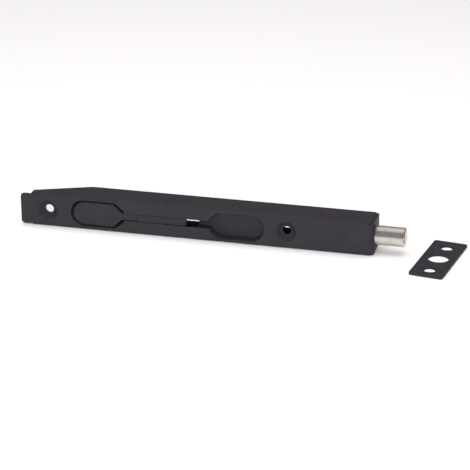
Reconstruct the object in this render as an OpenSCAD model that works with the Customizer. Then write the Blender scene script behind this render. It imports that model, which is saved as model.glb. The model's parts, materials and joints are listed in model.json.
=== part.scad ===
// Toggle bolt latch: a lever-action flush bolt for the edge of a door, with its strike plate.
// It lies on its side: +X runs along the bolt towards its nose, the face looks towards -Y,
// and +Z is up. The lever swings 175 degrees out of the left recess and into the right one,
// and its crank and a pair of link plates pull the bolt back into the housing.

/* [Housing] */
// Length of the housing, from the left tab to the end tab
body_len = 211.2; // [210:0.1:230]
// Width of the face
face_w = 20; // [19.5:0.1:21]
// Depth of the side flanges
flange_depth = 18.6; // [16.5:0.1:19]
// Thickness of the pressed steel sheet
sheet = 1.3; // [1.1:0.1:1.4]
// Outer radius of the folded edges
bend_r = 1.5; // [1.4:0.1:1.6]
// Length of the flat tab at the left end
tab_len = 6.5; // [5:0.5:9]
// Where the tapered part of the flanges reaches full depth
ramp_len = 38.8; // [34:0.1:42]
// Depth of the flanges where the taper starts
ramp_start = 5.4; // [3.5:0.1:6.5]

/* [Recesses] */
// Depth of the two finger recesses
dish_depth = 5.3; // [5.3:0.1:6.8]
// Half width of a recess at the face
dish_half = 7.9; // [7.85:0.05:8]
// How far the recess walls slope in towards the floor
dish_draft = 0.7; // [0.5:0.1:0.7]
// Half width of the slot for the lever's neck
slot_half = 2.35; // [2.3:0.05:2.4]

/* [Lever] */
// Distance of the lever's pivot from the left end
pivot_x = 89.1; // [88.7:0.1:89.4]
// Depth of the lever's pivot behind the face
pivot_y = 3.9; // [3.85:0.05:3.9]
// Half width of the lever's paddle
paddle_half = 7.1; // [6.4:0.1:7.1]
// Half width of the lever's neck
neck_half = 2.1; // [2:0.05:2.15]

/* [Bolt] */
// Diameter of the bolt
bolt_d = 11.2; // [10.8:0.1:11.2]
// Depth of the bolt's axis behind the face
bolt_y = 8.7; // [8.7:0.1:8.8]
// How far the bolt stands out of the housing when it is thrown
bolt_out = 17.3; // [16.5:0.1:17.5]
// Travel of the bolt, twice the throw of the crank
throw = 17; // [16.8:0.1:17]

/* [Screws] */
// Diameter of the two screw holes in the housing
screw_d = 5.1; // [4.8:0.1:5.6]
// Distance of the first screw hole from the left end
screw_x = 16.8; // [16.5:0.1:17.2]
// Distance between the two screw holes
screw_gap = 143.6; // [143.3:0.1:143.9]

/* [Strike plate] */
// Length of the strike plate
strike_len = 52; // [50:1:60]
// Width of the strike plate
strike_w = 19.6; // [18:0.1:22]
// Thickness of the strike plate
strike_t = 1.4; // [1:0.1:2]
// Diameter of the hole that takes the bolt
strike_hole_d = 12.2; // [11.8:0.1:13]
// Distance between the strike plate's screw holes
strike_gap = 34.2; // [32:0.1:38]
// How far the strike plate is turned as it lies beside the bolt
strike_turn = -8.4; // [-12:0.1:12]

/* [Hidden] */
$fn = 48;

mid_z = face_w / 2;
cut = 1; // how far a cutting shape runs past the surface it cuts
inner_z = face_w - sheet; // inner surface of the upper flange

// Recess outline, as distances from the pivot
neck_x = 25.6;
neck_z = 3.3;
shoulder_x = 31.2;
round_x = 50.4;
channel_x = 18.6; // the open slot ends here, and the channel's floor starts

// Lever and crank
pin_r = 1.5;
run_fit = 0.06; // radial clearance of a turning fit
crank_r = throw / 2;
crank_x = pivot_x + crank_r;
paddle_front = 0.8;
paddle_back = 2.8;
tail_x = 11.8;
hub_r = 3.2;
boss_r = 2.5;
sleeve_r = 2.3;
head_r = 2.3;

// Link plates, on each side of the lever
plate_t = 1.2;
link_low_z = 4.8;
link_high_z = face_w - link_low_z - plate_t;
link_front = 8.6;
link_back = 14;
link_mid = (link_front + link_back) / 2;
stay_x = 125.6;

// Drive strip and bolt
strip_t = 1.5;
strip_back = 13.9;
strip_front = strip_back - strip_t;
strip_half = 6.6;
strip_neck_half = 3.7;
strip_neck_len = 8.6; // from the eye to the wide part, which stays clear of the link
eye_r = 2.8;
eye_x = 144.4;
eye_y = strip_back - eye_r;
screw2_x = screw_x + screw_gap;
strip_slot_half = 2.6;
bolt_rear = 184.6;
flat_end = 193;
bolt_r = bolt_d / 2;
bolt_fit = 0.08;
guide_x = 196.6;
nose_chamfer = 0.7;
rivet_x = [186.8, 190.8];
rivet_r = 1.2;
rivet_head_r = 1.9;

// Dimples round the screw holes
dimple_r = 6;
dimple_floor_r = 3.6;
dimple_depth = 3;

// Strike plate
strike_x = 248.1;
strike_y = 3.5;
strike_corner = 1.5;
strike_screw_r = 3.3;
strike_sink_r = 4.2;

// The row's origin: the middle of the footprint of the housing and the strike plate
strike_reach_x = (strike_w / 2 - strike_corner) * cos(strike_turn)
    + (strike_len / 2 - strike_corner) * abs(sin(strike_turn)) + strike_corner;
origin_x = (strike_x + strike_reach_x) / 2;
origin_y = strike_y;

// Puts a shape that is drawn from the housing's left front lower corner into the row's frame
module placed() {
    translate([-origin_x, -origin_y, 0]) children();
}

// Extrudes an outline that is drawn in X and Y, from one height to another
module slab(low, high) {
    translate([0, 0, low]) linear_extrude(high - low) children();
}

// Extrudes an outline that is drawn in X and Z, from one depth to another
module wall(front, back) {
    translate([0, back, 0]) rotate([90, 0, 0]) linear_extrude(back - front) children();
}

// A round bar along X
module bar_x(r, from, to) {
    translate([from, bolt_y, mid_z]) rotate([0, 90, 0]) cylinder(h = to - from, r = r);
}

// A round bar or a cone along Y, which starts at the front
module bar_y(x, front, back, r_front, r_back) {
    translate([x, front, mid_z]) rotate([-90, 0, 0])
        cylinder(h = back - front, r1 = r_front, r2 = r_back);
}

// A pin along Z
module pin_z(x, y, low, high, r) {
    translate([x, y, low]) cylinder(h = high - low, r = r);
}

// A tube along Z
module tube_z(x, y, low, high, r_out, r_in) {
    difference() {
        pin_z(x, y, low, high, r_out);
        pin_z(x, y, low - cut, high + cut, r_in);
    }
}

// ---- Housing ----

// A square with two round corners on its front side
module rounded_front(front, low, high, back, r) {
    translate([front + r, low]) square([back - front - r, high - low]);
    translate([front, low + r]) square([r, high - low - 2 * r]);
    translate([front + r, low + r]) circle(r);
    translate([front + r, high - r]) circle(r);
}

// The folded sheet: a channel with its open side at the back, drawn in Y and Z
module channel_section() {
    difference() {
        rounded_front(0, 0, face_w, flange_depth, bend_r);
        rounded_front(sheet, sheet, inner_z, flange_depth + cut, bend_r - sheet);
    }
}

// Side view of the flanges, drawn in X and Y: tapered at the left, square at the right
module flange_outline() {
    polygon([[tab_len, 0], [tab_len, ramp_start], [ramp_len, flange_depth],
        [body_len - sheet, flange_depth], [body_len - sheet, 0]]);
}

// Half of the recess outline: a neck, sloped shoulders and a round end, drawn from the pivot
module dish_outline(inset) {
    half = dish_half - inset;
    neck = neck_z - inset / 2;
    polygon([[neck_x + inset, -neck], [neck_x + inset, neck], [shoulder_x + inset, half],
        [round_x, half], [round_x, -half], [shoulder_x + inset, -half]]);
    translate([round_x, 0]) circle(half);
}

// The solid of a recess: widest at its front and narrower at its floor
module dish_solid(front, back, grow) {
    thin = 0.01;
    hull() {
        wall(front, front + thin) dish_outline(-grow);
        wall(back - thin, back) dish_outline(dish_draft - grow);
    }
}

// Puts a shape at the pivot, and again mirrored about it
module both_sides() {
    for (side = [0, 1]) translate([pivot_x, 0, mid_z]) mirror([side, 0, 0]) children();
}

// Cone that is pressed round each screw hole
module dimple(grow, depth) {
    for (x = [screw_x, screw2_x])
        bar_y(x, 0, depth, dimple_r + grow, dimple_floor_r + grow);
}

module folded_sheet() {
    intersection() {
        rotate([90, 0, 90]) linear_extrude(body_len) channel_section();
        slab(0, face_w) flange_outline();
    }
    // the left tab is the front plate alone, a little narrower than the face
    wall(0, sheet) left_tab();
}

module left_tab() {
    inset = 0.65;
    r = 2;
    translate([r, inset]) square([tab_len + 1 - r, face_w - 2 * inset]);
    translate([0, inset + r]) square([r, face_w - 2 * (inset + r)]);
    for (z = [inset + r, face_w - inset - r]) translate([r, z]) circle(r);
}

// End tab, folded back from the front plate
module end_tab() {
    side_gap = 0.3;
    difference() {
        translate([body_len - sheet, 0, side_gap])
            cube([sheet, flange_depth, face_w - 2 * side_gap]);
        bar_x(bolt_r + bolt_fit, body_len - sheet - cut, body_len + cut);
    }
}

// The pivot pin's ends are staked into a countersink in each flange
module pin_countersinks() {
    sink = 0.8;
    spread = 1;
    translate([pivot_x, pivot_y, face_w - sink]) cylinder(h = sink, r1 = pin_r, r2 = pin_r + spread);
    translate([pivot_x, pivot_y, 0]) cylinder(h = sink, r1 = pin_r + spread, r2 = pin_r);
}

module housing() {
    channel_half = slot_half + sheet;
    color([0.2, 0.2, 0.22]) placed() difference() {
        union() {
            folded_sheet();
            end_tab();
            both_sides() dish_solid(sheet / 2, dish_depth + sheet, sheet);
            both_sides() translate([channel_x, 0, -channel_half])
                cube([neck_x - channel_x + 3, dish_depth + sheet, 2 * channel_half]);
            dimple(sheet, dimple_depth + sheet);
        }
        both_sides() dish_solid(0, dish_depth, 0);
        both_sides() translate([-cut, -cut, -slot_half])
            cube([channel_x + 2 * cut, dish_depth + cut, 2 * slot_half]);
        both_sides() translate([0, 0, -slot_half])
            cube([neck_x + 3, dish_depth, 2 * slot_half]);
        dimple(0, dimple_depth);
        for (x = [screw_x, screw2_x])
            bar_y(x, dimple_depth - cut, dimple_depth + 2 * sheet, screw_d / 2, screw_d / 2);
        pin_z(pivot_x, pivot_y, -cut, face_w + cut, pin_r);
        pin_countersinks();
    }
}

// ---- Lever and its pins ----

// Face view of the lever, from the round end of its paddle to its tail, through all depths
module lever_face() {
    paddle_x = 49.8;
    shoulder = 32.6;
    neck_start = 26.8;
    translate([pivot_x, 0, mid_z]) wall(0, flange_depth)
        polygon([[-paddle_x, paddle_half], [-shoulder, paddle_half], [-neck_start, neck_half],
            [tail_x - 1, neck_half], [tail_x, neck_half - 1], [tail_x, 1 - neck_half],
            [tail_x - 1, -neck_half], [-neck_start, -neck_half], [-shoulder, -paddle_half],
            [-paddle_x, -paddle_half]]);
    bar_y(pivot_x - paddle_x, 0, flange_depth, paddle_half, paddle_half);
}

// Side view of the lever, through all heights: a thin paddle, a neck near the face, and the
// hub and the crank boss behind it
module lever_side() {
    far = 60;
    translate([pivot_x, 0, 0]) slab(0, face_w)
        polygon([[-far, paddle_front], [-22, paddle_front], [-20.5, 1.1], [-18.2, 1.1],
            [-16.8, 0.5], [tail_x - 0.6, 0.5], [tail_x, 1.1], [tail_x, pivot_y],
            [crank_r, pivot_y + boss_r - 0.4], [0, pivot_y + hub_r - 0.4],
            [-4, pivot_y + 2.4], [-22, paddle_back], [-far, paddle_back]]);
    pin_z(pivot_x, pivot_y, 0, face_w, hub_r);
    pin_z(crank_x, pivot_y, 0, face_w, boss_r);
}

module lever() {
    color([0.22, 0.22, 0.24]) placed() difference() {
        intersection() {
            lever_face();
            lever_side();
        }
        pin_z(pivot_x, pivot_y, 0, face_w, pin_r + run_fit);
        pin_z(crank_x, pivot_y, 0, face_w, pin_r);
    }
}

module pivot_pin() {
    color([0.3, 0.3, 0.32]) placed() {
        pin_z(pivot_x, pivot_y, 0, face_w, pin_r);
        pin_countersinks();
    }
}

// Tube on the pivot pin, between the lever's neck and a flange
module pivot_sleeve(low, high) {
    color([0.7, 0.7, 0.7]) placed() tube_z(pivot_x, pivot_y, low, high, sleeve_r, pin_r + run_fit);
}

module pivot_sleeve_upper() {
    pivot_sleeve(mid_z + neck_half + 0.1, inner_z);
}

module pivot_sleeve_lower() {
    pivot_sleeve(sheet, mid_z - neck_half - 0.1);
}

module crank_pin() {
    head = 0.8;
    low = link_low_z - 0.1;
    high = face_w - low;
    color([0.7, 0.7, 0.7]) placed() {
        pin_z(crank_x, pivot_y, low - head, high + head, pin_r);
        pin_z(crank_x, pivot_y, low - head, low, head_r);
        pin_z(crank_x, pivot_y, high, high + head, head_r);
    }
}

// Collar on the crank pin, between the lever's neck and a link plate
module crank_collar(low, high) {
    color([0.7, 0.7, 0.7]) placed() tube_z(crank_x, pivot_y, low, high, sleeve_r, pin_r + run_fit);
}

module crank_collar_upper() {
    crank_collar(mid_z + neck_half + 0.1, link_high_z);
}

module crank_collar_lower() {
    crank_collar(link_low_z + plate_t, mid_z - neck_half - 0.1);
}

// ---- Link ----

// Link plate: an eye on the crank pin, an arm that reaches behind the right recess, and a
// hook that is open towards the face and cradles the bolt pin
module link_body(low, high) {
    end_x = eye_x + 5.8;
    lobe_r = 3.9;
    shallow = 0.2; // the straight sides start this far inside the round eye
    pin_z(crank_x, pivot_y, low, high, boss_r);
    slab(low, high)
        polygon([[crank_x - boss_r + shallow, pivot_y], [crank_x - 1.6, link_mid],
            [crank_x - 0.6, link_back - 0.8], [crank_x + 0.8, link_back], [end_x, link_back],
            [end_x, link_front], [crank_x + 4.4, link_front],
            [crank_x + boss_r - shallow, pivot_y]]);
    pin_z(eye_x, eye_y + 0.5, low, high, lobe_r);
}

// Opening of the hook: it widens towards the face, where the pin drifts sideways
module hook_opening() {
    pin_z(eye_x, eye_y, 0, face_w, pin_r + 0.35);
    translate([eye_x, eye_y, 0]) slab(0, face_w)
        polygon([[-2, 0.3], [2, 0.3], [3.75, -3.2], [3.75, -8], [-3.75, -8], [-3.75, -3.2]]);
}

module link_plate(low) {
    color([0.62, 0.62, 0.64]) placed() difference() {
        link_body(low, low + plate_t);
        hook_opening();
        pin_z(crank_x, pivot_y, 0, face_w, pin_r + run_fit);
        pin_z(stay_x, link_mid, 0, face_w, rivet_r);
    }
}

module link_upper() {
    link_plate(link_high_z);
}

module link_lower() {
    link_plate(link_low_z);
}

// Shouldered rivet that holds the two link plates apart
module link_stay() {
    end = 0.5;
    color([0.7, 0.7, 0.7]) placed() {
        pin_z(stay_x, link_mid, link_low_z + plate_t, link_high_z, 1.9);
        pin_z(stay_x, link_mid, link_low_z - end, link_high_z + plate_t + end, rivet_r);
        pin_z(stay_x, link_mid, link_low_z - end, link_low_z, 1.8);
        pin_z(stay_x, link_mid, link_high_z + plate_t, link_high_z + plate_t + end, 1.8);
    }
}

// ---- Bolt ----

// Strip that joins the bolt to the link: a narrow end with a rolled eye between the link plates,
// and a wide part with a slot that the second fixing screw passes through
module drive_strip() {
    spare = 2.4; // left of the screw, so that the slot also clears its head
    slot_start = screw2_x - strip_slot_half - spare;
    slot_end = screw2_x + throw + strip_slot_half + 0.8;
    color([0.66, 0.66, 0.68]) placed() difference() {
        union() {
            translate([eye_x + strip_neck_len, strip_front, mid_z - strip_half])
                cube([flat_end - 0.3 - eye_x - strip_neck_len, strip_t, 2 * strip_half]);
            translate([eye_x, strip_front, mid_z - strip_neck_half])
                cube([strip_neck_len + 1, strip_t, 2 * strip_neck_half]);
            pin_z(eye_x, eye_y, mid_z - strip_neck_half, mid_z + strip_neck_half, eye_r);
        }
        pin_z(eye_x, eye_y, 0, face_w, pin_r);
        wall(strip_front - cut, strip_back + cut) {
            translate([slot_start + strip_slot_half, mid_z - strip_slot_half])
                square([slot_end - slot_start - 2 * strip_slot_half, 2 * strip_slot_half]);
            for (x = [slot_start + strip_slot_half, slot_end - strip_slot_half])
                translate([x, mid_z]) circle(strip_slot_half);
        }
        for (x = rivet_x) bar_y(x, strip_front - cut, strip_back + cut, rivet_r, rivet_r);
    }
}

module strip_rivets() {
    color([0.7, 0.7, 0.7]) placed() for (x = rivet_x) {
        bar_y(x, bolt_y - 2, strip_back + 0.3, rivet_r, rivet_r);
        bar_y(x, strip_back, strip_back + 0.3, rivet_head_r, rivet_head_r);
        bar_y(x, strip_back + 0.3, strip_back + 0.8, rivet_head_r, rivet_r);
    }
}

// Cross pin in the eye of the drive strip
module bolt_pin() {
    end = 1.4;
    color([0.7, 0.7, 0.7]) placed()
        pin_z(eye_x, eye_y, link_low_z - end, face_w - link_low_z + end, pin_r);
}

module bolt() {
    nose = body_len + bolt_out;
    color([0.75, 0.73, 0.68]) placed() difference() {
        union() {
            bar_x(bolt_r, bolt_rear, nose - nose_chamfer);
            translate([nose - nose_chamfer, bolt_y, mid_z]) rotate([0, 90, 0])
                cylinder(h = nose_chamfer, r1 = bolt_r, r2 = bolt_r - nose_chamfer);
        }
        translate([bolt_rear - cut, strip_front, 0])
            cube([flat_end - bolt_rear + cut, flange_depth, face_w]);
        for (x = rivet_x) bar_y(x, bolt_y - 2, strip_back, rivet_r, rivet_r);
    }
}

// ---- Pieces fixed inside the housing ----

// Bracket that guides the bolt, welded between the flanges by its two feet
module bolt_guide() {
    foot_len = 7;
    foot_front = 3.4;
    guide_front = sheet + 0.4;
    guide_back = 15.6;
    color([0.6, 0.6, 0.62]) placed() difference() {
        union() {
            translate([guide_x, guide_front, sheet])
                cube([sheet, guide_back - guide_front, face_w - 2 * sheet]);
            for (z = [sheet, inner_z - sheet]) translate([guide_x, foot_front, z])
                cube([foot_len, guide_back - foot_front, sheet]);
        }
        bar_x(bolt_r + bolt_fit, guide_x - cut, guide_x + foot_len + cut);
    }
}

// Bowed leaf spring behind the face, whose friction keeps the bolt from rattling
module friction_spring() {
    centre = 187.9;
    reach = 8.4;
    rise = bolt_y - bolt_r - sheet - 0.8;
    leaf = 0.45;
    steps = 14;
    half_z = 3;
    function bow(i) = rise * (1 - pow(2 * i / steps - 1, 2));
    function along(i) = centre + reach * (2 * i / steps - 1);
    front = [for (i = [0 : steps]) [along(i), sheet + bow(i)]];
    back = [for (i = [steps : -1 : 0]) [along(i), sheet + leaf + bow(i)]];
    color([0.5, 0.55, 0.62]) placed() slab(mid_z - half_z, mid_z + half_z)
        polygon(concat(front, back));
}

// ---- Strike plate ----

module strike_outline() {
    w = strike_w / 2;
    l = strike_len / 2;
    r = strike_corner;
    square([strike_w - 2 * r, strike_len], center = true);
    square([strike_w, strike_len - 2 * r], center = true);
    for (x = [r - w, w - r], y = [r - l, l - r]) translate([x, y]) circle(r);
}

module strike_plate() {
    color([0.2, 0.2, 0.22]) placed()
        translate([strike_x, strike_y, 0]) rotate([0, 0, strike_turn]) difference() {
            slab(0, strike_t) strike_outline();
            pin_z(0, 0, -cut, strike_t + cut, strike_hole_d / 2);
            for (y = [-strike_gap / 2, strike_gap / 2]) {
                pin_z(0, y, -cut, strike_t + cut, strike_screw_r);
                translate([0, y, strike_t - (strike_sink_r - strike_screw_r)])
                    cylinder(h = strike_sink_r - strike_screw_r, r1 = strike_screw_r,
                        r2 = strike_sink_r);
            }
        }
}

housing();
lever();
pivot_pin();
pivot_sleeve_upper();
pivot_sleeve_lower();
crank_pin();
crank_collar_upper();
crank_collar_lower();
link_upper();
link_lower();
link_stay();
drive_strip();
strip_rivets();
bolt_pin();
bolt();
bolt_guide();
friction_spring();
strike_plate();
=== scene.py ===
"""Looks of the toggle bolt latch: sheet-metal housing, flip-over lever, bolt and strike plate.

The pieces are drawn in millimetres from the housing's left front lower corner, with y as the
depth behind the face, and place() puts them into the frame. A distance from the lever's pivot
along the housing is called d.
"""
import json
import math

import bmesh
import bpy
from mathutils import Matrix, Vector
from mathutils.geometry import tessellate_polygon


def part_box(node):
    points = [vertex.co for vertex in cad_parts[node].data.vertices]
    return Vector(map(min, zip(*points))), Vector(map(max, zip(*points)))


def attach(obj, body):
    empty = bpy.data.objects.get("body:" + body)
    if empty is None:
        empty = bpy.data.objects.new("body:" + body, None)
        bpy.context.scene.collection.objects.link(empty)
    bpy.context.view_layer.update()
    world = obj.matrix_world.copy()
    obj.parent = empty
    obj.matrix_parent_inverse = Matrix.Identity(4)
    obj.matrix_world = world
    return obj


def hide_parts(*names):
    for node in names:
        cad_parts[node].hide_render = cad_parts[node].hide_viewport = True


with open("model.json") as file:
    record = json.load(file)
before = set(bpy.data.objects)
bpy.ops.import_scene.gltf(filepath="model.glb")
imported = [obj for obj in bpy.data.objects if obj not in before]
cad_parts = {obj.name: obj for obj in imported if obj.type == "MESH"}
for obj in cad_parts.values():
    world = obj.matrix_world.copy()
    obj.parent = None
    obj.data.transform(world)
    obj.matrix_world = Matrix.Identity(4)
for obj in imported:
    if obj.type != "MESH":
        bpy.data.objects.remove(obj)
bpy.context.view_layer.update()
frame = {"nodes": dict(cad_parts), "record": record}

# ---- Sizes, from the frame where it holds them ----

MM = 0.001
HOUSING_LOW, HOUSING_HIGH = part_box("housing")
BODY_LEN = (HOUSING_HIGH[0] - HOUSING_LOW[0]) / MM
FACE_W = (HOUSING_HIGH[2] - HOUSING_LOW[2]) / MM
DEPTH = (HOUSING_HIGH[1] - HOUSING_LOW[1]) / MM
MID_Z = FACE_W / 2
SHEET = 1.3
BEND_R = 1.5
STRIP_T = 1.5
STRIP_END_GAP = 0.3  # between the drive strip's end and the step at the bolt's flat

PIVOT = [j for j in frame["record"]["behaviour"]["joints"] if j["name"] == "lever_flip"][0]["pos_m"]
PIVOT_X = (PIVOT[0] - HOUSING_LOW[0]) / MM
PIVOT_Y = (PIVOT[1] - HOUSING_LOW[1]) / MM
BOLT_LOW, BOLT_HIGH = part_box("bolt")
BOLT_R = (BOLT_HIGH[2] - BOLT_LOW[2]) / MM / 2
BOLT_Y = (BOLT_LOW[1] - HOUSING_LOW[1]) / MM + BOLT_R
BOLT_REAR = (BOLT_LOW[0] - HOUSING_LOW[0]) / MM
BOLT_NOSE = (BOLT_HIGH[0] - HOUSING_LOW[0]) / MM
STRIP_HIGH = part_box("drive_strip")[1]
FLAT_END = (STRIP_HIGH[0] - HOUSING_LOW[0]) / MM + STRIP_END_GAP
FLAT_Y = (STRIP_HIGH[1] - HOUSING_LOW[1]) / MM - STRIP_T
SCREW_X = [16.8, 160.4]

# Sizes that the frame doesn't hold, as in the part's source
TAB_LEN = 6.5
RAMP_START = 5.4
RAMP_LEN = 38.8
SCREW_HOLE_R = 2.55
DIMPLE_DEPTH = 3.0


def place(x, y, z):
    return Vector((HOUSING_LOW[0] + x * MM, HOUSING_LOW[1] + y * MM, HOUSING_LOW[2] + z * MM))


# ---- Stage: camera, floor and light ----

def aim(thing, target):
    thing.rotation_euler = (target - thing.location).to_track_quat("-Z", "Y").to_euler()


def add_camera():
    data = bpy.data.cameras.new("camera")
    data.sensor_width = 36
    data.lens = 139.8
    camera = bpy.data.objects.new("camera", data)
    bpy.context.scene.collection.objects.link(camera)
    camera.location = place(367.27, -946.79, 400.49)
    aim(camera, place(130.47, 0, 5.37))
    bpy.context.scene.camera = camera


def add_floor():
    mesh = bpy.data.meshes.new("floor")
    reach = 6
    corners = [(-reach, -reach, 0), (reach, -reach, 0), (reach, reach, 0), (-reach, reach, 0)]
    mesh.from_pydata(corners, [], [(0, 1, 2, 3)])
    floor = bpy.data.objects.new("floor", mesh)
    bpy.context.scene.collection.objects.link(floor)
    floor.location = (0, 0, -0.00005)
    mat = bpy.data.materials.new("floor_white")
    mat.use_nodes = True
    shader = mat.node_tree.nodes["Principled BSDF"]
    shader.inputs["Base Color"].default_value = (0.94, 0.94, 0.94, 1)
    shader.inputs["Roughness"].default_value = 0.9
    shader.inputs["Specular IOR Level"].default_value = 0.1
    mesh.materials.append(mat)


def add_area(name, location, target, size, power):
    """A soft light that lights the part but is not mirrored in its bright metal."""
    data = bpy.data.lights.new(name, "AREA")
    data.shape = "RECTANGLE"
    data.size, data.size_y = size
    data.energy = power
    light = bpy.data.objects.new(name, data)
    bpy.context.scene.collection.objects.link(light)
    light.location = location
    light.visible_glossy = False
    aim(light, Vector(target))


def add_lights():
    add_area("front", Vector((0.15, -1.3, 0.45)), (0.0, 0.0, 0.0), (1.4, 0.8), 20)
    add_area("top", Vector((0.0, 0.0, 1.1)), (0.0, 0.0, 0.0), (1.4, 1.0), 8)


def add_world():
    """Soft studio sky: bright overhead, and dim towards the horizon and the viewer."""
    world = bpy.data.worlds.new("studio")
    bpy.context.scene.world = world
    world.use_nodes = True
    nodes, links = world.node_tree.nodes, world.node_tree.links
    background = nodes["Background"]
    coords = nodes.new("ShaderNodeTexCoord")
    lean = nodes.new("ShaderNodeVectorMath")
    lean.operation = "DOT_PRODUCT"
    lean.inputs[1].default_value = (0.0, 0.25, 0.97)
    ramp = nodes.new("ShaderNodeValToRGB")
    links.new(coords.outputs["Generated"], lean.inputs[0])
    links.new(lean.outputs["Value"], ramp.inputs[0])
    links.new(ramp.outputs["Color"], background.inputs["Color"])
    ramp.color_ramp.elements[0].position = 0.78
    ramp.color_ramp.elements[0].color = (0.32, 0.29, 0.28, 1)
    ramp.color_ramp.elements[1].position = 0.94
    ramp.color_ramp.elements[1].color = (1, 1, 1, 1)
    background.inputs["Strength"].default_value = 1.0


add_camera()
add_floor()
add_lights()
add_world()
bpy.context.scene.view_settings.view_transform = "Standard"


# ---- Materials ----

NOISE_LOW = 0.3  # a noise texture keeps mostly between these values
NOISE_HIGH = 0.7


class Paint:
    """A node material on a Principled shader, mapped in the frame's own metres."""

    def __init__(self, name, metallic=0.0):
        self.mat = bpy.data.materials.new(name)
        self.mat.use_nodes = True
        self.nodes = self.mat.node_tree.nodes
        self.links = self.mat.node_tree.links
        self.shader = self.nodes["Principled BSDF"]
        self.shader.inputs["Metallic"].default_value = metallic
        self.coords = self.nodes.new("ShaderNodeTexCoord").outputs["Object"]
        self.normal = None

    def noise(self, scale, detail=2.0, stretch=None):
        node = self.nodes.new("ShaderNodeTexNoise")
        node.inputs["Scale"].default_value = scale
        node.inputs["Detail"].default_value = detail
        source = self.coords
        if stretch:
            mapping = self.nodes.new("ShaderNodeMapping")
            mapping.inputs["Scale"].default_value = stretch
            self.links.new(self.coords, mapping.inputs["Vector"])
            source = mapping.outputs[0]
        self.links.new(source, node.inputs["Vector"])
        return node.outputs["Fac"]

    def span(self, source, low, high):
        node = self.nodes.new("ShaderNodeMapRange")
        node.inputs["From Min"].default_value = NOISE_LOW
        node.inputs["From Max"].default_value = NOISE_HIGH
        node.inputs["To Min"].default_value = low
        node.inputs["To Max"].default_value = high
        self.links.new(source, node.inputs["Value"])
        return node.outputs["Result"]

    def colours(self, source, dark, light):
        ramp = self.nodes.new("ShaderNodeValToRGB")
        ramp.color_ramp.elements[0].position = NOISE_LOW
        ramp.color_ramp.elements[0].color = (*dark, 1)
        ramp.color_ramp.elements[1].position = NOISE_HIGH
        ramp.color_ramp.elements[1].color = (*light, 1)
        self.links.new(source, ramp.inputs[0])
        self.links.new(ramp.outputs["Color"], self.shader.inputs["Base Color"])

    def roughness(self, source):
        self.links.new(source, self.shader.inputs["Roughness"])

    def bump(self, source, strength, distance):
        node = self.nodes.new("ShaderNodeBump")
        node.inputs["Strength"].default_value = strength
        node.inputs["Distance"].default_value = distance
        self.links.new(source, node.inputs["Height"])
        if self.normal:
            self.links.new(self.normal, node.inputs["Normal"])
        self.normal = node.outputs[0]
        self.links.new(self.normal, self.shader.inputs["Normal"])


def powder_coat():
    """Satin powder coat: orange peel, fine grain and faint unevenness of colour."""
    paint = Paint("powder_coat")
    paint.colours(paint.noise(90, 3), (0.0250, 0.0225, 0.0285), (0.0290, 0.0262, 0.0330))
    paint.roughness(paint.span(paint.noise(260, 3), 0.46, 0.58))
    paint.bump(paint.noise(900, 2), 0.10, 0.0002)
    paint.bump(paint.noise(3200, 3), 0.16, 0.00006)
    paint.shader.inputs["Specular IOR Level"].default_value = 0.12
    return paint.mat


def nickel_plate():
    """Satin nickel over a turned bar: fine rings round the bar and long rub marks."""
    paint = Paint("nickel_plate", metallic=1.0)
    paint.colours(paint.noise(120, 3), (0.56, 0.53, 0.49), (0.67, 0.635, 0.595))
    paint.roughness(paint.span(paint.noise(160, 4, (8, 1, 1)), 0.22, 0.38))
    paint.bump(paint.noise(60, 2, (60, 1, 1)), 0.10, 0.00005)
    paint.bump(paint.noise(300, 2, (0.12, 4, 4)), 0.06, 0.00005)
    return paint.mat


def zinc_plate():
    """Bright zinc plate with rolling marks and a mottled bloom."""
    paint = Paint("zinc_plate", metallic=1.0)
    paint.colours(paint.noise(220, 4), (0.42, 0.43, 0.45), (0.62, 0.62, 0.61))
    paint.roughness(paint.span(paint.noise(500, 3), 0.30, 0.50))
    paint.bump(paint.noise(240, 2, (0.1, 4, 4)), 0.10, 0.00006)
    return paint.mat


def black_oxide():
    """Black oxide on sheet steel, with rolling marks. It is made nearly black and dull, darker than
    the finish itself, as painted shade for the shaded inside of the channel seen through the slot and
    the screw holes.
    """
    paint = Paint("black_oxide")
    # painted shade: this near-black base colour and the low specular below stand in for the shade
    # inside the channel
    paint.colours(paint.noise(240, 3), (0.004, 0.004, 0.005), (0.008, 0.008, 0.009))
    paint.roughness(paint.span(paint.noise(500, 3), 0.66, 0.82))
    paint.bump(paint.noise(300, 2, (0.1, 4, 4)), 0.08, 0.00005)
    paint.shader.inputs["Specular IOR Level"].default_value = 0.04
    return paint.mat


def spring_steel():
    """Blued spring steel, drawn lengthwise."""
    paint = Paint("spring_steel", metallic=1.0)
    paint.colours(paint.noise(300, 3), (0.12, 0.15, 0.22), (0.26, 0.28, 0.34))
    paint.roughness(paint.span(paint.noise(600, 3, (0.1, 2, 2)), 0.25, 0.42))
    paint.bump(paint.noise(400, 2, (0.1, 4, 4)), 0.08, 0.00005)
    return paint.mat


FINISH = {"powder_coat": powder_coat(), "nickel_plate": nickel_plate(),
          "zinc_plate": zinc_plate(), "black_oxide": black_oxide(),
          "spring_steel": spring_steel()}


# ---- Mesh helpers ----

def add_piece(name, verts, faces, slot, body, node, bevel=0.0):
    """Makes a smooth-shaded piece that rides on a body and stands for a CAD node."""
    mesh = bpy.data.meshes.new(name)
    mesh.from_pydata([tuple(v) for v in verts], [], faces)
    bm = bmesh.new()
    bm.from_mesh(mesh)
    bmesh.ops.recalc_face_normals(bm, faces=bm.faces)
    for face in bm.faces:
        face.smooth = True
    bm.to_mesh(mesh)
    bm.free()
    piece = bpy.data.objects.new(name, mesh)
    bpy.context.scene.collection.objects.link(piece)
    mesh.materials.append(FINISH[slot])
    if bevel:
        soften(piece, bevel)
    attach(piece, body)
    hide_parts(node)
    return piece


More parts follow.
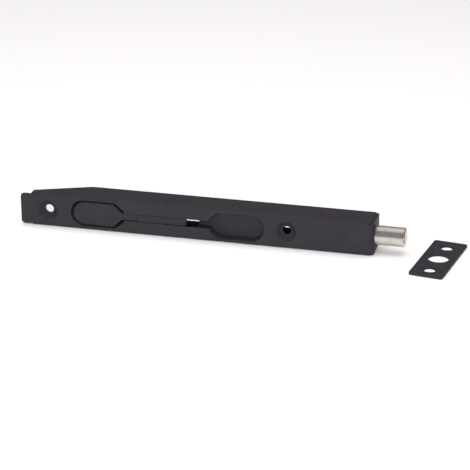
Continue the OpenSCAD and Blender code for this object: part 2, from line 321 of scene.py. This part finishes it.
def soften(piece, width):
    """Rounds the sharp edges a little, and keeps flat faces flat in the shading."""
    edge = piece.modifiers.new("edges", "BEVEL")
    edge.width = width * MM
    edge.segments = 2
    edge.limit_method = "ANGLE"
    edge.angle_limit = math.radians(40)
    edge.use_clamp_overlap = True
    normals = piece.modifiers.new("normals", "WEIGHTED_NORMAL")
    normals.weight = 60


class Sheet:
    """Sheet metal, built as pairs of points on its front and its back surface."""

    def __init__(self):
        self.front = []
        self.back = []
        self.faces = []

    def point(self, front, back):
        self.front.append(place(*front))
        self.back.append(place(*back))
        return len(self.front) - 1

    def strip(self, one, two, closed=False, skip=()):
        count = len(one)
        for i in range(count if closed else count - 1):
            if i in skip:
                continue
            k = (i + 1) % count
            self.faces.append([one[i], one[k], two[k], two[i]])

    def fill(self, outer, holes=()):
        loops = [outer, *holes]
        order = [i for loop in loops for i in loop]
        for triangle in tessellate_polygon([[self.front[i] for i in loop] for loop in loops]):
            self.faces.append([order[i] for i in triangle])

    def solid(self):
        """All points and faces: both surfaces, and the cut edges that join them."""
        count = len(self.front)
        uses = {}
        for face in self.faces:
            for a, b in zip(face, face[1:] + face[:1]):
                uses.setdefault(frozenset((a, b)), []).append((a, b))
        faces = list(self.faces)
        faces += [[i + count for i in reversed(face)] for face in self.faces]
        for pairs in uses.values():
            if len(pairs) == 1:
                a, b = pairs[0]
                faces.append([b, a, a + count, b + count])
        return self.front + self.back, faces


def smooth_corners(points, steps=5):
    """Rounds the inner corners of an open outline of (x, z, radius) points."""
    result = [Vector(points[0][:2])]
    for before, corner, after in zip(points, points[1:], points[2:]):
        c = Vector(corner[:2])
        a, b = Vector(before[:2]) - c, Vector(after[:2]) - c
        turn = math.pi - a.angle(b)
        reach = corner[2] * math.tan(turn / 2)
        start = c + a.normalized() * min(reach, 0.45 * a.length)
        end = c + b.normalized() * min(reach, 0.45 * b.length)
        for k in range(steps):
            t = k / (steps - 1)
            result.append(start * (1 - t) ** 2 + c * (2 * t * (1 - t)) + end * t ** 2)
    result.append(Vector(points[-1][:2]))
    return result


# ---- Housing ----

DISH_DEPTH = 5.3
DISH_HALF = 7.9
DISH_DRAFT = 0.7
SLOT_HALF = 2.35
NECK_X = 25.6
NECK_Z = 3.3
SHOULDER_X = 31.2
ROUND_X = 50.4
CHANNEL_X = 18.6
RIM_R = 0.45
INNER_R = 0.25
FLOOR_R = 0.7
CHANNEL_RIM = 0.3
RIM_ANGLES = [math.radians(22.5 * k) for k in range(5)]
FOLD_ANGLES = [math.radians(11.25 * k) for k in range(9)]
END_R = 2.6
PIN_R = 1.5
PIN_HEAD_R = 2.5
PIN_SINK = 0.8


def quarter_outline(inset, channel_inset):
    """Outline of the right recess's upper half, from the slot to the tip of its round end."""
    z = SLOT_HALF - channel_inset
    half = DISH_HALF - inset
    path = smooth_corners([
        (CHANNEL_X, z, 0), (NECK_X + inset, z, 0.5), (NECK_X + inset, NECK_Z - 0.6 * inset, 1.0),
        (SHOULDER_X + 0.6 * inset, half, 3.5), (ROUND_X, half, 0)])
    arc = 14
    for k in range(1, arc + 1):
        angle = math.pi / 2 * (1 - k / arc)
        path.append(Vector((ROUND_X + half * math.cos(angle), half * math.sin(angle))))
    return path


def whole_outline(inset, channel_inset):
    """Both recesses and the slot between them, as one loop of (d, z)."""
    quarter = quarter_outline(inset, channel_inset)
    back = quarter[-2::-1]
    right = [(p.x, p.y) for p in quarter] + [(p.x, -p.y) for p in back]
    left = [(-x, -z) for x, z in right]
    return right + left


def add_recesses(sheet):
    """Adds the slot and the two drawn recesses. Gives the loop where they leave the face."""
    size = len(quarter_outline(0, 0))
    side = 2 * size - 1
    rim_share = [CHANNEL_RIM + (1 - CHANNEL_RIM) * min(max((i - 2) / 6, 0), 1) for i in range(size)]
    rim_share += rim_share[-2::-1]
    rim_share += rim_share

    def ring(front, back, rim_front=None):
        """front and back are (inset, channel inset, depth)."""
        outline = whole_outline(front[0], front[1])
        behind = whole_outline(back[0], back[1])
        row = []
        reach = MID_Z - BEND_R - 0.05
        for i, ((d, z), (db, zb)) in enumerate(zip(outline, behind)):
            depth = front[2] * (rim_share[i] if rim_front else 1)
            zb = min(max(zb, -reach), reach)
            row.append(sheet.point((PIVOT_X + d, depth, MID_Z + z),
                                   (PIVOT_X + db, back[2], MID_Z + zb)))
        return row

    rows = []
    for a in RIM_ANGLES:
        out, down = 1 - math.sin(a), 1 - math.cos(a)
        back_inset = -SHEET - INNER_R * out
        rows.append(ring((-RIM_R * out, -RIM_R * CHANNEL_RIM * out, RIM_R * down),
                         (back_inset, back_inset, SHEET + INNER_R * down), rim_front=True))
    rim_rows = len(rows)
    wall_end = DISH_DEPTH - FLOOR_R
    for b in RIM_ANGLES:
        turn, down = 1 - math.cos(b), math.sin(b)
        inset = DISH_DRAFT + FLOOR_R * turn
        outer = FLOOR_R + SHEET
        rows.append(ring((inset, 0.1 * inset, wall_end + FLOOR_R * down),
                         (DISH_DRAFT - SHEET + outer * turn, -SHEET + outer * turn * 0.5,
                          wall_end + outer * down)))
    slot_edges = (side - 1, 2 * side - 1)
    for j, (one, two) in enumerate(zip(rows, rows[1:])):
        sheet.strip(one, two, closed=True, skip=slot_edges if j >= rim_rows - 1 else ())
    sheet.fill(rows[-1][:side])
    sheet.fill(rows[-1][side:])
    return rows[0]


def add_dimple(sheet, x):
    """Adds the cone and the hole for a countersunk screw. Gives its loop on the face.

    The profile holds (radius, depth) on the front surface and on the back one.
    """
    depth, segments = DIMPLE_DEPTH, 48
    profile = [(6.5, 0, 7.6, SHEET), (6.3, 0.05, 7.45, SHEET + 0.1), (6.0, 0.22, 7.2, SHEET + 0.3),
               (3.75, 2.7, 5.0, 4.05), (3.5, 2.93, 4.7, 4.25), (3.2, depth, 4.4, depth + SHEET),
               (SCREW_HOLE_R, depth, SCREW_HOLE_R, depth + SHEET)]
    rows = []
    for r, y, back_r, back_y in profile:
        row = []
        for k in range(segments):
            c, s = math.cos(2 * math.pi * k / segments), math.sin(2 * math.pi * k / segments)
            row.append(sheet.point((x + r * c, y, MID_Z + r * s),
                                   (x + back_r * c, back_y, MID_Z + back_r * s)))
        rows.append(row)
    for one, two in zip(rows, rows[1:]):
        sheet.strip(one, two, closed=True)
    return rows[0]


def circle(r, segments=40):
    """Points round the lever's pivot, as (x, y)."""
    angles = [2 * math.pi * k / segments for k in range(segments)]
    return [(PIVOT_X + r * math.cos(a), PIVOT_Y + r * math.sin(a)) for a in angles]


def add_flange(sheet, start, end, top):
    """Adds one folded side of the channel. Gives the two points of its fold on the face."""
    def up(z):
        return FACE_W - z if top else z

    inner = BEND_R - SHEET
    rows = []
    for a in FOLD_ANGLES:
        y, z = BEND_R * (1 - math.cos(a)), BEND_R * (1 - math.sin(a))
        yb, zb = BEND_R - inner * math.cos(a), BEND_R - inner * math.sin(a)
        rows.append([sheet.point((x, y, up(z)), (x, yb, up(zb))) for x in (start, end)])
    for one, two in zip(rows, rows[1:]):
        sheet.strip(one, two)
    tip = BODY_LEN - SHEET - 0.15
    corners = smooth_corners([(start, BEND_R, 0), (start, RAMP_START, 0.8), (RAMP_LEN, DEPTH, 6),
                              (tip, DEPTH, 0.8), (tip, END_R, 0.6), (end + 0.8, BEND_R, 0.1),
                              (end, BEND_R, 0)])[1:-1]
    side = [sheet.point((p.x, p.y, up(0)), (p.x, p.y, up(SHEET))) for p in corners]
    rim, sink, bore = circle(PIN_HEAD_R + 0.06), circle(PIN_R + 0.05), circle(PIN_R + 0.02)
    hole = [sheet.point((x, y, up(0)), (u, v, up(SHEET))) for (x, y), (u, v) in zip(rim, bore)]
    lip = [sheet.point((x, y, up(PIN_SINK)), (u, v, up(SHEET - 0.05)))
           for (x, y), (u, v) in zip(sink, bore)]
    sheet.fill([rows[-1][0], *side, rows[-1][1]], [hole])
    sheet.strip(hole, lip, closed=True)
    return rows[0]


def add_end_tab(sheet, low, high):
    """Adds the tab that is folded back at the bolt's end. Gives its points on the face."""
    inner = END_R - SHEET
    rows = []
    for a in FOLD_ANGLES:
        x, y = BODY_LEN - END_R * (1 - math.sin(a)), END_R * (1 - math.cos(a))
        xb, yb = BODY_LEN - END_R + inner * math.sin(a), END_R - inner * math.cos(a)
        rounding = (BEND_R - low) * (1 - math.sin(a))
        rows.append([sheet.point((x, y, z), (xb, yb, z)) for z in (low + rounding, high - rounding)])
    for one, two in zip(rows, rows[1:]):
        sheet.strip(one, two)
    corners = smooth_corners([(END_R, low, 0), (DEPTH, low, 0.8), (DEPTH, high, 0.8),
                              (END_R, high, 0)])[1:-1]
    side = [sheet.point((BODY_LEN, p.x, p.y), (BODY_LEN - SHEET, p.x, p.y)) for p in corners]
    hole, segments = [], 64
    for k in range(segments):
        angle = 2 * math.pi * k / segments
        y = BOLT_Y + (BOLT_R + 0.1) * math.cos(angle)
        z = MID_Z + (BOLT_R + 0.1) * math.sin(angle)
        hole.append(sheet.point((BODY_LEN, y, z), (BODY_LEN - SHEET, y, z)))
    sheet.fill([rows[-1][0], *side, rows[-1][1]], [hole])
    return rows[0]


def build_housing():
    sheet = Sheet()
    start, end = TAB_LEN, BODY_LEN - END_R - 0.1
    tab_low, tab_inset, tab_r = 0.3, 0.65, 2.2
    low_fold = add_flange(sheet, start, end, top=False)
    high_fold = add_flange(sheet, start, end, top=True)
    end_fold = add_end_tab(sheet, tab_low, FACE_W - tab_low)

    def edge(points):
        return [sheet.point((p.x, 0, p.y), (p.x, SHEET, p.y)) for p in points]

    left_low = smooth_corners([(start, BEND_R, 0), (start - 0.3, tab_inset, 0.4),
                               (0, tab_inset, tab_r), (0, MID_Z, 0)])[1:-1]
    left_high = [Vector((p.x, FACE_W - p.y)) for p in left_low]
    outer = [low_fold[0], low_fold[1], end_fold[0], end_fold[1], high_fold[1], high_fold[0],
             *edge(left_high), *edge(left_low[::-1])]
    holes = [add_recesses(sheet)] + [add_dimple(sheet, x) for x in SCREW_X]
    sheet.fill(outer, holes)
    add_piece("housing_shell", *sheet.solid(), "powder_coat", "housing_body", "housing", 0.18)


build_housing()


# ---- Lever ----

PADDLE_R = 7.1
PADDLE_X = -49.8
NECK_HALF = 2.1
TIP = PADDLE_X - PADDLE_R
TAIL = 11.8
HUB_R = 3.2
CRANK_X = 8.5
BOSS_R = 2.5


def along(points, d):
    """Reads a height from a broken line of (d, value) points."""
    for (d0, v0), (d1, v1) in zip(points, points[1:]):
        if d <= d1:
            t = min(max((d - d0) / (d1 - d0), 0), 1)
            return v0 + (v1 - v0) * t
    return points[-1][1]


def ease(t):
    """Smooth step from 0 to 1."""
    t = min(max(t, 0), 1)
    return t * t * (3 - 2 * t)


def lever_half(d):
    """Half width of the lever at a distance from the pivot."""
    if d < PADDLE_X:
        return math.sqrt(max(PADDLE_R ** 2 - (d - PADDLE_X) ** 2, 0.01))
    if d > TAIL - 1:
        return NECK_HALF - (1 - math.sqrt(max(1 - (d - TAIL + 1) ** 2, 0)))
    return NECK_HALF + (PADDLE_R - NECK_HALF) * (1 - ease((d + 33.4) / 7.2))


def lever_depths(d):
    """Depth of the lever's front and back surfaces at a distance from the pivot."""
    front = along([(-60, 0.8), (-22, 0.8), (-20.5, 1.1), (-18.2, 1.1), (-16.8, 0.5), (TAIL, 0.5)], d)
    back = along([(-60, 2.8), (-22, 2.8), (-4, 6.3), (0, 6.7), (CRANK_X, 6.0), (TAIL, 3.9)], d)
    for centre, r in ((0, HUB_R), (CRANK_X, BOSS_R)):
        if abs(d - centre) < r:
            back = max(back, PIVOT_Y + math.sqrt(r ** 2 - (d - centre) ** 2))
    near = min(d - TIP, TAIL - d)
    edge = 0.6
    if near < edge:
        drop = edge * (1 - math.sqrt(max(1 - (1 - near / edge) ** 2, 0)))
        front, back = front + drop, back - drop
    return front, back


def build_lever():
    stations = [PADDLE_X - PADDLE_R * math.cos(math.radians(k * 3)) for k in range(1, 31)]
    stations += [PADDLE_X + k * 1.5 for k in range(1, 10)]
    stations += [-36 + k * 0.6 for k in range(28)]
    stations += [-19 + k * 1.0 for k in range(30)]
    stations += [TAIL - 0.8 * math.cos(math.radians(k * 9)) for k in range(10)]
    steps = 4
    droop = 0.12  # the arm sags a little in its slot, and the hub stays centred
    verts, faces, rows = [], [], []
    for d in sorted(set(round(s, 4) for s in stations)):
        half = lever_half(d)
        front, back = lever_depths(d)
        r = 0.2 + 0.35 * ease((-20 - d) / 8)
        axis_z = MID_Z - droop * ease((-4 - d) / 8)
        row = []
        for corner in range(4):
            sz = 1 if corner in (0, 1) else -1
            cy = back - r if corner in (1, 2) else front + r
            for k in range(steps + 1):
                angle = math.radians(90 * (corner + k / steps))
                row.append(len(verts))
                verts.append(place(PIVOT_X + d, cy - r * math.cos(angle),
                                   axis_z + sz * (half - r) + r * math.sin(angle)))
        rows.append(row)
    for one, two in zip(rows, rows[1:]):
        for i in range(len(one)):
            k = (i + 1) % len(one)
            faces.append([one[i], one[k], two[k], two[i]])
    faces += [rows[0], rows[-1][::-1]]
    piece = add_piece("lever_cast", verts, faces, "powder_coat", "lever_body", "lever")
    piece.modifiers.new("normals", "WEIGHTED_NORMAL").weight = 50


build_lever()


# ---- Pivot pin ----

def build_pivot_pin():
    """Pin with both ends staked into their countersinks, which leaves a groove round each."""
    ends = [(0.25, 0.3), (0.18, 0.8), (0.08, PIN_HEAD_R - 1.3), (0.16, PIN_HEAD_R - 1.0),
            (0.6, PIN_HEAD_R - 0.8), (PIN_SINK, PIN_R), (SHEET, PIN_R)]
    profile = ends + [(FACE_W - z, r) for z, r in reversed(ends)]
    verts, rows = [], []
    for z, r in profile:
        rows.append(range(len(verts), len(verts) + 40))
        verts += [place(x, y, z) for x, y in circle(r)]
    faces = [list(rows[0]), list(rows[-1])[::-1]]
    for one, two in zip(rows, rows[1:]):
        faces += [[one[i], one[(i + 1) % 40], two[(i + 1) % 40], two[i]] for i in range(40)]
    add_piece("pivot_rivet", verts, faces, "powder_coat", "housing_body", "pivot_pin")


build_pivot_pin()


# ---- Bolt ----

def build_bolt():
    """A turned bar with a softened nose, flattened at the rear for the drive strip.

    Two rings stand close together where the flat ends, which makes its step.
    """
    r = BOLT_R
    profile = [(BOLT_REAR, r - 0.4), (BOLT_REAR + 0.15, r - 0.12), (BOLT_REAR + 0.4, r),
               (FLAT_END, r), (FLAT_END + 0.01, r), (FLAT_END + 0.4, r),
               (BOLT_NOSE - 1.0, r), (BOLT_NOSE - 0.8, r - 0.03), (BOLT_NOSE - 0.62, r - 0.14),
               (BOLT_NOSE - 0.16, r - 0.58), (BOLT_NOSE - 0.04, r - 0.75), (BOLT_NOSE, r - 1.0),
               (BOLT_NOSE, r * 0.5), (BOLT_NOSE, 0.7), (BOLT_NOSE - 0.25, 0.35)]
    segments = 96
    verts, rows = [], []
    for x, ring_r in profile:
        row = []
        for k in range(segments):
            angle = 2 * math.pi * k / segments
            y = BOLT_Y + ring_r * math.cos(angle)
            if x <= FLAT_END:
                y = min(y, FLAT_Y)
            row.append(len(verts))
            verts.append(place(x, y, MID_Z + ring_r * math.sin(angle)))
        rows.append(row)
    faces = []
    for one, two in zip(rows, rows[1:]):
        for i in range(segments):
            k = (i + 1) % segments
            faces.append([one[i], one[k], two[k], two[i]])
    faces += [rows[0], rows[-1][::-1]]
    piece = add_piece("bolt_bar", verts, faces, "nickel_plate", "bolt_body", "bolt")
    piece.modifiers.new("normals", "WEIGHTED_NORMAL").weight = 50


build_bolt()


# ---- Strike plate ----

STRIKE_HALF_W = 9.8
STRIKE_HALF_L = 26.0
STRIKE_CORNER_R = 1.5
STRIKE_TURN = math.radians(-8.4)
STRIKE_HOLE_R = 6.1
STRIKE_SCREW_R = 3.3
STRIKE_SINK_R = 4.2
STRIKE_SCREW_V = 17.1


def build_strike_plate():
    """Blanked plate with a hole for the bolt and two countersunk screw holes."""
    low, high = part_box("strike_plate")
    centre = Vector(((low[0] + high[0]) / 2 - HOUSING_LOW[0], (low[1] + high[1]) / 2 - HOUSING_LOW[1]))
    centre /= MM
    top = (high[2] - low[2]) / MM
    sheet = Sheet()

    def pair(u, v, z, u_low, v_low):
        c, s = math.cos(STRIKE_TURN), math.sin(STRIKE_TURN)
        return sheet.point((centre.x + c * u - s * v, centre.y + s * u + c * v, z),
                           (centre.x + c * u_low - s * v_low, centre.y + s * u_low + c * v_low, 0))

    outer = []
    steps = 8
    for quadrant, (su, sv) in enumerate([(1, 1), (-1, 1), (-1, -1), (1, -1)]):
        for k in range(steps + 1):
            angle = math.radians(90 * (quadrant + k / steps))
            u = su * (STRIKE_HALF_W - STRIKE_CORNER_R) + STRIKE_CORNER_R * math.cos(angle)
            v = sv * (STRIKE_HALF_L - STRIKE_CORNER_R) + STRIKE_CORNER_R * math.sin(angle)
            outer.append(pair(u, v, top, u, v))

    def hole(v, profile):
        """profile holds (radius at the top, height, radius at the underside)."""
        rows = []
        segments = 48
        for r, z, r_low in profile:
            row = []
            for k in range(segments):
                c, s = math.cos(2 * math.pi * k / segments), math.sin(2 * math.pi * k / segments)
                row.append(pair(r * c, v + r * s, z, r_low * c, v + r_low * s))
            rows.append(row)
        for one, two in zip(rows, rows[1:]):
            sheet.strip(one, two, closed=True)
        return rows[0]

    screw = [(STRIKE_SINK_R, top, STRIKE_SINK_R - 0.1), (STRIKE_SCREW_R, 0.5, STRIKE_SCREW_R)]
    holes = [hole(0, [(STRIKE_HOLE_R, top, STRIKE_HOLE_R)]),
             hole(STRIKE_SCREW_V, screw), hole(-STRIKE_SCREW_V, screw)]
    sheet.fill(outer, holes)
    add_piece("strike_plate_blank", *sheet.solid(), "powder_coat", "strike_body", "strike_plate", 0.15)


build_strike_plate()


# ---- CAD nodes that keep their shape ----

REPLACED = ("housing", "lever", "pivot_pin", "bolt", "strike_plate")


def finish_cad_nodes():
    slots = {s["node"]: s["material_slot"] for s in frame["record"]["subparts"]}
    for name, node in frame["nodes"].items():
        if name in REPLACED:
            continue
        for slot in node.material_slots:
            slot.material = FINISH[slots[name]]


finish_cad_nodes()
